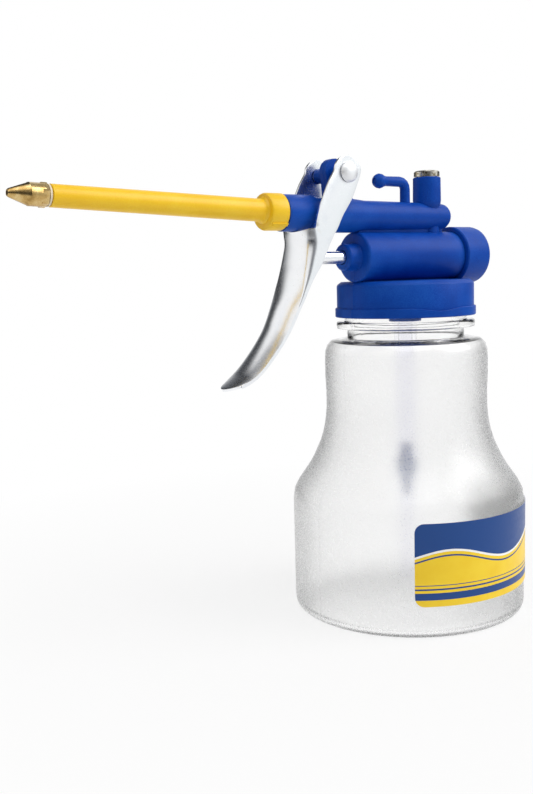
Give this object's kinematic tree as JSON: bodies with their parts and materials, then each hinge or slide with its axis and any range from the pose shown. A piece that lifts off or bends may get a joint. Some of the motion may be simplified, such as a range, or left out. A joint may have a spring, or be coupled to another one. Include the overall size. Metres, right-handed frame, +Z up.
{
  "type": "oil can",
  "caption": "Hand pump oil can: see-through waisted bottle, screw-on pump head with squeeze lever, horizontal plunger and long spout with a cone nozzle.",
  "frame": {"origin": "centre of the bottle's base, on the ground", "axes": "+Z up along the bottle's axis; the spout points along -X and the pump lies in the plane Y = 0"},
  "size_m": [0.2033, 0.0905, 0.1726],
  "materials": {
    "bottle": "blow-moulded natural polythene, frosted and see-through",
    "label": "printed film, plain fields and stripes",
    "cap_gasket": "black rubber",
    "pump_head": "moulded blue plastic, fine grain",
    "barrel_cap": "moulded blue plastic, fine grain",
    "barrel_cap_ring": "black rubber",
    "gland_seal": "black rubber",
    "suction_tube": "natural polythene",
    "foot_valve": "dark blue plastic",
    "suction_hose": "natural polythene",
    "valve_plug": "nickel-plated, turned",
    "plug_washer": "black rubber",
    "spout_ring": "black rubber",
    "spout": "moulded yellow plastic, satin",
    "nozzle_washer": "white nylon",
    "nozzle": "turned brass",
    "return_spring": "spring wire",
    "outlet_spring": "spring wire",
    "plunger_rod": "bright drawn rod",
    "piston": "white acetal",
    "piston_ring": "black rubber",
    "inlet_ball": "polished ball",
    "outlet_ball": "polished ball",
    "lever": "pressed sheet, bright zinc plate",
    "lever_pin": "rivet, bright zinc plate"
  },
  "bodies": {
    "bottle": {"bottle": "bottle", "label": "label"},
    "gasket": {"cap_gasket": "cap_gasket"},
    "head": {"pump_head": "pump_head", "barrel_cap": "barrel_cap", "barrel_cap_ring": "barrel_cap_ring", "gland_seal": "gland_seal", "suction_tube": "suction_tube", "foot_valve": "foot_valve", "suction_hose": "suction_hose", "valve_plug": "valve_plug", "plug_washer": "plug_washer", "spout_ring": "spout_ring", "spout": "spout", "nozzle_washer": "nozzle_washer", "nozzle": "nozzle", "return_spring": "return_spring", "outlet_spring": "outlet_spring"},
    "plunger": {"plunger_rod": "plunger_rod", "piston": "piston", "piston_ring": "piston_ring"},
    "inlet_ball": {"inlet_ball": "inlet_ball"},
    "outlet_ball": {"outlet_ball": "outlet_ball"},
    "lever": {"lever": "lever", "lever_pin": "lever_pin"}
  },
  "joints": [
    {"name": "thread_lift", "type": "slide", "parent": "bottle", "child": "gasket", "axis": [0, 0, 1], "range_m": [0, 0.009]},
    {"name": "head_turn", "type": "hinge", "parent": "gasket", "child": "head", "pos_m": [0, 0, 0.1278], "axis": [0, 0, 1], "range_deg": [0, 810]},
    {"name": "lever_pivot", "type": "hinge", "parent": "head", "child": "lever", "pos_m": [-0.035, 0, 0.1667], "axis": [0, -1, 0], "range_deg": [0, 22], "stiffness_Nm_per_rad": 0.461, "springref_deg": -11.46},
    {"name": "plunger_slide", "type": "slide", "parent": "head", "child": "plunger", "axis": [1, 0, 0], "range_m": [0, 0.01195], "deforming": ["return_spring"]},
    {"name": "outlet_lift", "type": "slide", "parent": "head", "child": "outlet_ball", "axis": [0, 0, 1], "range_m": [0, 0.0012], "stiffness_N_per_m": 50, "springref_m": -0.002, "deforming": ["outlet_spring"]},
    {"name": "inlet_lift", "type": "slide", "parent": "head", "child": "inlet_ball", "axis": [0, 0, 1], "range_m": [0, 0.001]}
  ],
  "couplings": [
    {"joint": "thread_lift", "follows": "head_turn", "m_per_rad": 0.00063662},
    {"joint": "plunger_slide", "follows": "lever_pivot", "m_per_rad": 0.031}
  ]
}
